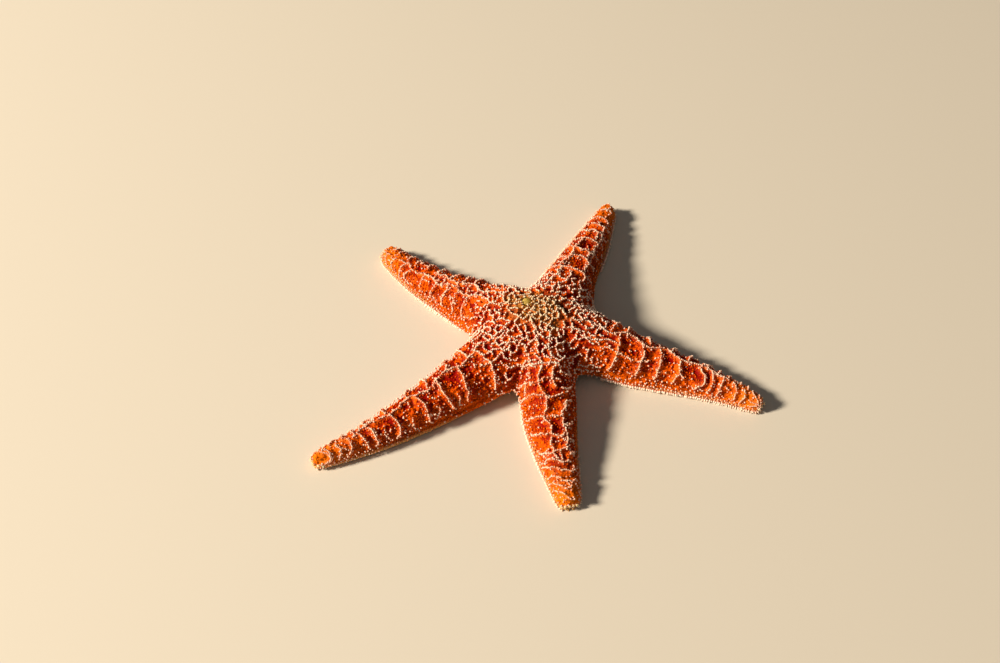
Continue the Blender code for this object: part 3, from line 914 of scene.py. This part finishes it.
def netSpines(plates, places, normals, field, skinTree, material):
    # places and normals are the plain skin's, which the relief was lowered from
    draw = np.random.default_rng(8)
    clear = field["sieve"] < 0.15
    knobs = []
    grains = []
    for chain in plates.chains:
        walked = 0.0
        last = chain[0][0]
        gap = coat["chainGap"] * draw.uniform(0.3, 1)
        for place, normal, share, _ in chain:
            walked += (place - last).length / mm
            last = place
            if walked < gap:
                continue
            walked = 0.0
            gap = coat["chainGap"] * draw.uniform(0.85, 1.2) * (1 - 0.12 * float(nearTip(share)))
            if draw.random() < coat["chainMiss"]:
                continue
            small = 1 - 0.2 * float(nearTip(share))
            radius = draw.uniform(*coat["chainRadius"]) * small
            flush = between(*coat["flush"], float(smooth01(*coat["flushFrom"], share)))
            knobs.append((place[:], normal[:], radius, draw.uniform(*coat["chainHeight"]) * small,
                          draw.normal(flush, 0.18)))
            if draw.random() < coat["besideChance"]:
                aside = Vector(draw.normal(0, 1, 3))
                aside = (aside - normal * aside.dot(normal)).normalized() * coat["besideMm"] * mm
                knobs.append(((place + aside)[:], normal[:], radius * 0.85, 0.7 * small,
                              draw.normal(flush + 0.1, 0.18)))
    onDisc = 1 - field["onArm"]
    flushes = between(*coat["flush"], field["onArm"])
    wall = np.flatnonzero((field["fine"] < coat["fineReach"]) & (field["upper"] > 0.3) & clear
                          & (field["coarse"] > 0.55))
    order = wall[np.argsort(field["fine"][wall] + draw.random(len(wall)) * 0.16)]
    gaps = coat["fineGap"] * (1.25 - 0.3 * field["strength"] + 0.35 * field["onArm"]) * mm
    for i in thinned(places, order, gaps, coat["wallCellMm"]):
        strong = field["strength"][i]
        if strong > 0.5 and draw.random() < 0.25 + 0.72 * onDisc[i]:
            size = 0.7 + 0.36 * strong
            knobs.append((places[i], normals[i], draw.uniform(*coat["fineRadius"]) * size,
                          draw.uniform(*coat["fineHeight"]) * size, draw.normal(flushes[i], 0.2)))
    free = (field["coarse"] > 0.95) & (field["onArm"] > 0.2) | (field["fine"] > 0.7) & (onDisc > 0.7)
    loose = np.flatnonzero(free & (field["upper"] > 0.35) & clear & ~bareFlank(field, normals))
    loose = draw.permutation(loose)
    apart, tipApart = (np.array([arm[key] for arm in arms.values()])[field["nearest"]]
                       for key in ("loose", "tipLoose"))
    apart = between(apart, coat["discGap"], onDisc)
    apart = between(apart, tipApart, smooth01(*coat["tipFrom"], field["share"]))
    apart = apart * draw.uniform(0.8, 1.25, len(places))
    for i in thinned(places, loose, apart * mm, coat["looseCellMm"]):
        patch = noise.noise(Vector(places[i]) / (coat["patchMm"] * mm))
        if draw.random() < coat["patchShare"] + coat["patchSwing"] * patch:
            grains.append((places[i], normals[i], draw.uniform(*coat["looseRadius"]),
                           draw.uniform(*coat["looseHeight"]), draw.normal(flushes[i] + 0.1, 0.22)))
    for title, kind, planted in (("ridgeSpines.", "knob", knobs), ("cellSpines.", "grain", grains)):
        roots, headings = settle(skinTree, [p[0] for p in planted], [p[1] for p in planted], draw)
        crown = crownShare(roots) ** 0.6
        for name, mine, maps in byRegion(roots):
            copyToPlaces(title + name, masterSpine(kind), {
                "root": roots[mine], "heading": headings[mine], "map": maps, "crown": crown[mine],
                "radius": [planted[i][2] for i in mine], "height": [planted[i][3] for i in mine],
                "flush": [min(max(planted[i][4], 0), 1) for i in mine]}, material)


def settle(skinTree, places, normals, draw, sink=0.14, scatter=0.13):
    # sets each root on the finished skin, a little sunk, and leans it at random about the skin's slope
    roots, headings = [], []
    for place, normal in zip(places, normals):
        found, slope, _, _ = skinTree.find_nearest(Vector(place))
        roots.append((found - slope * sink * mm)[:])
        lean = Vector(draw.normal(0, scatter, 3))
        headings.append((slope * 0.45 + Vector(normal) * 0.55 + lean).normalized()[:])
    return np.array(roots), np.array(headings)


buds = {"gap": (0.76, 1.05), "cellMm": 1.1, "radius": (0.3, 0.46), "height": (0.32, 0.62),
        "highest": 0.42,    # how far up a ridge they grow, as a share of its height
        "keep": 0.5}


def papulae(places, normals, field, skinTree, material):
    # the soft gills that crowd the cells between the plates, in the skin's own colours
    draw = np.random.default_rng(12)
    low = (field["rise"] < buds["highest"]) & (field["upper"] > 0.12) & (field["sieve"] < 0.15)
    order = draw.permutation(np.flatnonzero(low & (draw.random(len(places)) < buds["keep"])))
    kept = thinned(places, order, draw.uniform(*buds["gap"], len(places)) * mm, buds["cellMm"])
    roots, headings = settle(skinTree, places[kept], normals[kept], draw, sink=0.12, scatter=0.2)
    size = 1 - 0.2 * nearTip(field["share"][kept])
    looks = {
        "root": roots, "heading": headings,
        "radius": draw.uniform(*buds["radius"], len(kept)) * size,
        "height": draw.uniform(*buds["height"], len(kept)) * size,
        "tone": draw.uniform(0.35, 1.0, len(kept)),
        "crown": field["crown"][kept], "tip": goldShare(field["share"][kept], normals[kept][:, 2]),
        "margin": footShare(roots)}
    for name, mine, maps in byRegion(roots):
        copyToPlaces("papulae." + name, masterSpine("bud"),
                     {"map": maps} | {key: values[mine] for key, values in looks.items()}, material)


rows = (
    # the spines along an arm's lower flanks: turns on the two sides, gap along, radius, height, last share,
    # scatter of the turn, how much skin covers them, and which of the arm's margins they begin at
    dict(turns=(12, 168), gap=2.0, radius=0.33, height=0.85, last=0.95, scatter=5, flush=0.3, begins=0),
    dict(turns=(1, 179), gap=1.9, radius=0.33, height=0.9, last=0.97, scatter=5, flush=0.35, begins=1),
    dict(turns=(-11, 191), gap=1.4, radius=0.34, height=1.0, last=0.98, scatter=3, flush=0.3, begins=1),
    dict(turns=(-21, 201), gap=0.85, radius=0.5, height=1.4, last=0.99, scatter=1.2, flush=0.0, begins=2),
    dict(turns=(-30, 210), gap=0.75, radius=0.42, height=1.6, last=0.99, scatter=1.5, flush=0.05, begins=2),
    dict(turns=(-42, 222), gap=0.9, radius=0.33, height=0.9, last=0.99, scatter=1.5, flush=0.5, begins=2),
    dict(turns=(-52, 232), gap=1.0, radius=0.36, height=0.7, last=0.97, scatter=2, flush=0.5, begins=2),
)


rowLook = {
    "grows": (-0.02, 0.09),          # shares about its beginning over which a row grows to its full size
    "sparse": 0.3, "small": 0.6,     # how many of its spines there are at first, and how large they are
    "lean": 0.1, "sunkMm": 0.15,
    "clearMm": 0.06,                 # how far over the floor their ends stay
}


def emptySpines():
    return {key: [] for key in ("root", "heading", "radius", "height", "map", "flush", "crown")}


def addSpine(spines, root, heading, radius, height, place, flush=0.4):
    for key, value in dict(root=root[:], heading=heading[:], radius=radius, height=height, map=place,
                           flush=flush, crown=0.0).items():
        spines[key].append(value)


def marginRows(hull, material):
    draw = random.Random(21)
    for name, arm in arms.items():
        spines = emptySpines()
        for row in rows:
            for side, turn in enumerate(row["turns"]):
                begins = arm["margins"][side][row["begins"]]
                share = begins
                while share < row["last"]:
                    along = share + draw.uniform(-0.15, 0.15) * row["gap"] / arm["length"]
                    grown = float(smooth01(*(begins + edge for edge in rowLook["grows"]), along))
                    found = hull.around(name, along, turn + draw.uniform(-1, 1) * row["scatter"])
                    share += row["gap"] * draw.uniform(0.88, 1.15) / arm["length"]
                    if not found or draw.random() > between(rowLook["sparse"], 1.0, grown):
                        continue
                    place, normal = found
                    size = (1 - 0.3 * float(nearTip(along, 0.6))) * between(rowLook["small"], 1.0, grown)
                    height = row["height"] * size * draw.uniform(0.82, 1.1)
                    lean = Vector([draw.gauss(0, rowLook["lean"]) for _ in range(3)])
                    heading = (normal + lean).normalized()
                    root = place - normal * rowLook["sunkMm"] * mm
                    lowest = (rowLook["clearMm"] * mm - root.z) / (height * mm)
                    if heading.z < lowest:
                        # turned up until its end clears the floor
                        flat = Vector((heading.x, heading.y, 0)).normalized()
                        lowest = max(lowest, -0.999)
                        heading = flat * math.sqrt(1 - min(lowest, 0.9) ** 2) + up * lowest
                    radius = row["radius"] * size * draw.uniform(0.85, 1.1)
                    addSpine(spines, root, heading, radius, height, stripPlace(along, turn),
                             min(max(draw.gauss(row["flush"], 0.12), 0), 1))
        copyToPlaces("marginSpines." + name, masterSpine("peg"), spines, material)


# the underside: tube feet in the furrows, the fence of spines beside them, and the mouth
under = {
    "footGap": 1.7, "footRows": (-100, -85, 265, 280), "footRadius": (0.42, 0.55), "footLean": 0.16,
    "footClear": (0.15, 0.5), "footLength": (0.7, 3.8),      # clear of the floor, shortest and longest
    "fenceGap": 0.85, "fenceTurns": (-63, 243), "fenceRadius": 0.24, "fenceLength": 1.7,
    "jawSpines": 7, "jawRing": 5.3, "jawLength": 2.6, "jawRadius": 0.3, "jawTurn": 36, "jawFan": 52,
    "first": 0.1, "last": 0.96,
    "tipFeet": 5, "tipFootRadius": 0.62, "tipFootLength": 1.3, "tipShare": 0.93, "tipHeight": 2.2,
}


def masterTubeFoot():
    # a soft stalk with a sucker at its end, from a sphere drawn out along its length
    stations = [(0, 0), (0.06, 0.62), (0.2, 0.6), (0.38, 0.52), (0.55, 0.56), (0.72, 0.5), (0.86, 0.62),
                (0.93, 1.0), (1.0, 0.88), (0.95, 0.0)]
    rings = len(stations) - 1
    foot = newSphere(7, rings)
    for vertex in foot.data.vertices:
        ring = round((1 - math.acos(max(-1, min(1, vertex.co.z))) / math.pi) * rings)
        along, width = stations[ring]
        angle = math.atan2(vertex.co.y, vertex.co.x)
        reach = width if 0 < ring < rings else 0
        vertex.co = (reach * math.cos(angle), reach * math.sin(angle), along)
    return takeShape(foot)


def undersides(hull, softMaterial, spineMaterial):
    draw = random.Random(31)
    feet = emptySpines()
    fence = emptySpines()
    for name, arm in arms.items():
        forward, left = axesOf(arm)
        for number, turn in enumerate(under["footRows"]):
            share = under["first"] + (number % 2) * 0.5 * under["footGap"] / arm["length"]
            while share < under["last"]:
                found = hull.around(name, share, turn + draw.uniform(-2, 2))
                share += under["footGap"] * draw.uniform(0.9, 1.1) / arm["length"]
                if not found or found[1].z > -0.3:
                    continue
                root = found[0] - found[1] * 0.2 * mm
                size = 1 - 0.35 * float(nearTip(share, 0.6))
                leans = [draw.gauss(0, under["footLean"]) for _ in range(2)]
                heading = Vector((*leans, -1)).normalized()
                shortest, longest = under["footLength"]
                height = min((root.z / mm - draw.uniform(*under["footClear"])) / -heading.z, longest)
                if height > shortest:
                    addSpine(feet, root, heading, draw.uniform(*under["footRadius"]) * size, height,
                             stripPlace(share, turn))
        for side, turn in ((1, under["fenceTurns"][0]), (-1, under["fenceTurns"][1])):
            share = under["first"] + 0.03
            inward = Vector((-left[0] * side, -left[1] * side, 0))
            while share < under["last"]:
                found = hull.around(name, share, turn + draw.uniform(-1.5, 1.5))
                share += under["fenceGap"] * draw.uniform(0.9, 1.1) / arm["length"]
                if not found:
                    continue
                size = 1 - 0.4 * float(nearTip(share, 0.6))
                root = found[0] - found[1] * 0.1 * mm
                heading = (inward + up * draw.uniform(-0.25, 0.15)
                           + Vector((forward[0], forward[1], 0)) * draw.gauss(0, 0.2)).normalized()
                height = under["fenceLength"] * size * draw.uniform(0.85, 1.1)
                if root.z + heading.z * height * mm < 0.3 * mm:
                    heading = (inward + up * 0.05).normalized()
                addSpine(fence, root, heading, under["fenceRadius"] * (0.6 + 0.4 * size), height,
                         stripPlace(share, turn))
    for arm in arms.values():
        # a few feet curl up past the end of each arm
        forward, left = axesOf(arm)
        x, y = axisPlace(arm, under["tipShare"])
        for i in range(under["tipFeet"]):
            lean = (i - (under["tipFeet"] - 1) / 2) * 0.3
            out = Vector((*(forward + left * lean), draw.uniform(-0.05, 0.2))).normalized()
            place = hull.tree.ray_cast(Vector((x, y, under["tipHeight"])) * mm, out)[0]
            if place is not None:
                heading = (out + up * draw.uniform(0.1, 0.5)).normalized()
                addSpine(feet, place - out * 0.7 * mm, heading, under["tipFootRadius"],
                         under["tipFootLength"] * draw.uniform(0.85, 1.1), stripPlace(1.0, -60 + i * 12))
    for arm in arms.values():
        middle = arm["heading"] + under["jawTurn"]
        for i in range(under["jawSpines"]):
            angle = math.radians(middle + (i / (under["jawSpines"] - 1) - 0.5) * under["jawFan"])
            out = Vector((math.cos(angle), math.sin(angle), 0))
            x, y = discCentre + np.array(out[:2]) * under["jawRing"]
            place = hull.tree.ray_cast(Vector((x * mm, y * mm, -rayStart)), up)[0]
            if place is None:
                continue
            heading = (-out * 0.8 - up * draw.uniform(0.4, 0.7)).normalized()
            addSpine(fence, place + up * 0.2 * mm, heading, under["jawRadius"],
                     under["jawLength"] * draw.uniform(0.85, 1.1), (0.5 + out.x * 0.12, 0.5 + out.y * 0.12))
    copyToPlaces("tubeFeet", masterTubeFoot(), feet, softMaterial)
    copyToPlaces("furrowSpines", masterSpine("peg"), fence, spineMaterial)


oralCoat = {
    "gap": (1.9, 2.9), "cellMm": 3.0, "radius": (0.3, 0.44), "height": (0.7, 1.2), "flush": 0.45,
    "reach": (9.0, 42.0), "lastShare": 0.36, "furrowMm": 3.9, "lowest": 2.0,   # where they grow
}


def oralSpines(places, normals, field, skinTree, material):
    # blunt spines over the webs between the arms, clear of the furrows, the mouth and the floor
    draw = np.random.default_rng(51)
    nearest, farthest = oralCoat["reach"]
    webs = (normals[:, 2] < -0.8) & (field["reach"] > nearest) & (field["reach"] < farthest)
    webs &= (np.abs(field["aside"]) > oralCoat["furrowMm"]) & (field["share"] < oralCoat["lastShare"])
    webs &= places[:, 2] > oralCoat["lowest"] * mm
    gaps = draw.uniform(*oralCoat["gap"], len(places)) * mm
    kept = thinned(places, draw.permutation(np.flatnonzero(webs)), gaps, oralCoat["cellMm"])
    roots, headings = settle(skinTree, places[kept], normals[kept], draw)
    flat = roots[:, :2] / mm - discCentre
    copyToPlaces("oralSpines", masterSpine("peg"), {
        "root": roots, "heading": headings, "map": 0.5 + unwrap["size"] / 2 * flat / farthest,
        "radius": draw.uniform(*oralCoat["radius"], len(kept)),
        "height": draw.uniform(*oralCoat["height"], len(kept)),
        "flush": np.clip(draw.normal(oralCoat["flush"], 0.15, len(kept)), 0, 1),
        "crown": np.zeros(len(kept))}, material)


mouthShape = {
    "radius": 4.3, "thickness": 1.5, "opening": 1.1, "pit": 0.75,
    "folds": 20, "foldMm": 0.16, "foldsFrom": (0.4, 1.4), "foldsTo": (3.6, 4.3),
}


def addMouth(material):
    # a round membrane drawn together in folds about the opening
    low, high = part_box("mouth")
    membrane = newSphere(80, 48)
    membrane.name = "mouthMembrane"
    middle = (low + high) / 2
    for vertex in membrane.data.vertices:
        x, y, z = vertex.co
        reach = math.hypot(x, y) * mouthShape["radius"]
        angle = math.atan2(y, x)
        fold = math.cos(angle * mouthShape["folds"] + math.sin(angle * 3)) * mouthShape["foldMm"]
        fold *= (float(smooth01(*mouthShape["foldsFrom"], reach))
                 * float(1 - smooth01(*mouthShape["foldsTo"], reach)))
        pit = mouthShape["pit"] * float(1 - smooth01(0.2, mouthShape["opening"], reach))
        height = z * mouthShape["thickness"] / 2
        if z < 0:
            height += pit + fold
        vertex.co = middle + Vector((x * mouthShape["radius"], y * mouthShape["radius"], height)) * mm
    membrane.data.materials.append(material)
    membrane.data.shade_smooth()
    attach(membrane, "root")
    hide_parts("mouth")


sieve = {
    "radius": 1.7, "rise": 0.3, "thickness": 1.5, "grooves": 17, "grooveMm": 0.13,
    "wander": 1.6, "forks": (0.35, 0.65), "plain": (0.05, 0.25), "rim": (0.9, 1.0), "edges": (-0.2, 0.75),
}


def addSievePlate(material):
    # a low dome with winding grooves that run out from its middle and fork
    low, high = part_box("madreporite")
    plate = newSphere(144, 64)
    plate.name = "sievePlate"
    middle = Vector(((low.x + high.x) / 2, (low.y + high.y) / 2, high.z - sieve["thickness"] * mm))
    depths = []
    for vertex in plate.data.vertices:
        x, y, z = vertex.co
        reach = math.hypot(x, y)
        angle = math.atan2(y, x)
        wander = noise.noise(Vector((x * 2.2, y * 2.2, 3.0))) * sieve["wander"]
        few = math.cos(angle * sieve["grooves"] / 2 + wander * 2)
        many = math.cos(angle * sieve["grooves"] + wander * 3)
        blend = float(smooth01(*sieve["forks"], reach))
        groove = (few * (1 - blend) + many * blend) * float(smooth01(*sieve["plain"], reach))
        groove = float(smooth01(*sieve["edges"], groove)) * float(1 - smooth01(*sieve["rim"], reach))
        top = z > 0
        depths.append(groove if top else 0.0)
        lift = z * (sieve["rise"] + sieve["thickness"] * 0.5) if top else z * sieve["thickness"] * 0.4
        vertex.co = middle + Vector((x * sieve["radius"], y * sieve["radius"],
                                     lift - (groove * sieve["grooveMm"] if top else 0))) * mm
    # the grooves' depth, by which the plate's colour darkens as painted shade
    setAttribute(plate.data, "depth", depths)
    plate.data.materials.append(material)
    plate.data.shade_smooth()
    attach(plate, "root")
    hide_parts("madreporite")


# floor, light and camera
view = {"lensMm": 50.0, "sensorMm": 36.0, "elevation": 52.0, "distance": 0.56, "aim": (-15.2, 7.0)}
lights = {
    # the key is low on the left, like a late sun
    "key": dict(place=(-2.33, -0.48, 1.58), size=0.5, power=152.0, colour="#fff0da"),
    "fill": dict(place=(-0.4, -0.6, 1.3), size=1.2, power=0.8, colour="#fbf8f4"),
}
studio = {"air": "#f8f3ec", "strength": 0.09, "floor": "#d9d2c4", "floorSize": 8.0, "floorRoughness": 0.85}


def addFloor():
    deselectAll()
    bpy.ops.mesh.primitive_plane_add(size=studio["floorSize"], location=(0, 0, 0))
    floor = bpy.context.object
    floor.name = "floor"
    material = newMaterial("palePaintedFloor", {
        "Roughness": studio["floorRoughness"], "Base Color": srgb(studio["floor"])})[0]
    floor.data.materials.append(material)


def addLights():
    aim = Vector((0, 0, 0.01))
    for name, light in lights.items():
        data = bpy.data.lights.new(name, "AREA")
        data.shape = "DISK"
        data.size = light["size"]
        data.energy = light["power"]
        data.color = srgb(light["colour"])[:3]
        lamp = bpy.data.objects.new(name, data)
        lamp.location = light["place"]
        lamp.rotation_euler = (aim - lamp.location).to_track_quat("-Z", "Y").to_euler()
        bpy.context.scene.collection.objects.link(lamp)
    world = bpy.data.worlds.new("studio")
    bpy.context.scene.world = world
    world.use_nodes = True
    background = world.node_tree.nodes["Background"]
    background.inputs["Color"].default_value = srgb(studio["air"])
    background.inputs["Strength"].default_value = studio["strength"]


def addCamera():
    data = bpy.data.cameras.new("camera")
    data.lens = view["lensMm"]
    data.sensor_width = view["sensorMm"]
    data.clip_start = 0.01
    camera = bpy.data.objects.new("camera", data)
    bpy.context.scene.collection.objects.link(camera)
    rise = math.radians(view["elevation"])
    aim = Vector((*(discCentre + np.array(view["aim"])) * mm, 0))
    camera.location = aim + Vector((0, -math.cos(rise), math.sin(rise))) * view["distance"]
    camera.rotation_euler = (math.pi / 2 - rise, 0, 0)
    bpy.context.scene.camera = camera


addCamera()
addLights()
addFloor()
bpy.context.scene.view_settings.view_transform = "Standard"

body = remeshSkin(joinFlesh())
say("plain skin: %d faces" % len(body.data.polygons))
hull = Hull(body.data)
plainPlaces, plainNormals = meshArrays(body.data)
plates = Plates(hull, plainPlaces, plainNormals)
rootPlaces, rootNormals = denserPlaces(body.data)
rootField = plates.measure(rootPlaces, rootNormals)
raiseNet(body, plates)
skinMaterial = dampSkin()
body.data.materials.append(skinMaterial)
body.data.shade_smooth()
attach(body, "root")
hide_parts(*fleshNodes)
spineMaterial = chalkySpines()
skinTree = treeOf(body.data)
papulae(rootPlaces, rootNormals, rootField, skinTree, skinMaterial)
netSpines(plates, rootPlaces, rootNormals, rootField, skinTree, spineMaterial)
marginRows(hull, spineMaterial)
softMaterial = softFlesh()
undersides(hull, softMaterial, spineMaterial)
oralSpines(rootPlaces, rootNormals, rootField, skinTree, spineMaterial)
addMouth(softMaterial)
addSievePlate(sievePlateCalcite())
